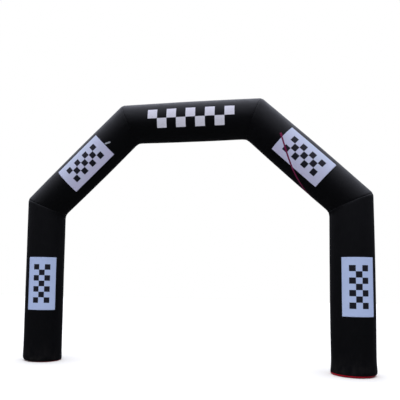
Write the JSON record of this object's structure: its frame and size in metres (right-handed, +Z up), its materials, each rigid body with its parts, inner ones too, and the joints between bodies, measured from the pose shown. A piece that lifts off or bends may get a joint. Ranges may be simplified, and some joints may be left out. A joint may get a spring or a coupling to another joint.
{
  "type": "inflatable arch",
  "caption": "Inflatable start arch of round air tubes joined by mitre seams, with sewn-on cloth panels, webbing tabs and a side strap; it stands on its flat feet.",
  "frame": {"origin": "on the ground, midway between the two feet, under the middle of the top beam", "axes": "+X along the arch's span towards the leg by the side strap, -Y is the front with the cloth panels, +Z up"},
  "size_m": [6.2074, 0.7288, 4.7383],
  "materials": {
    "left_leg": "black coated polyester cloth, semi-matt",
    "left_haunch": "black coated polyester cloth, semi-matt",
    "top_beam": "black coated polyester cloth, semi-matt",
    "right_haunch": "black coated polyester cloth, semi-matt",
    "right_leg": "black coated polyester cloth, semi-matt",
    "left_leg_panel": "white banner cloth, matt",
    "left_haunch_panel": "white banner cloth, matt",
    "right_haunch_panel": "white banner cloth, matt",
    "right_leg_panel": "white banner cloth, matt",
    "left_tab": "light grey webbing",
    "right_tab": "dark red webbing",
    "rear_tab": "dark red webbing",
    "side_strap": "red webbing"
  },
  "bodies": {
    "root": {"left_leg": "left_leg", "left_haunch": "left_haunch", "top_beam": "top_beam", "right_haunch": "right_haunch", "right_leg": "right_leg", "left_leg_panel": "left_leg_panel", "left_haunch_panel": "left_haunch_panel", "right_haunch_panel": "right_haunch_panel", "right_leg_panel": "right_leg_panel", "left_tab": "left_tab", "right_tab": "right_tab", "rear_tab": "rear_tab", "side_strap": "side_strap"}
  },
  "joints": []
}
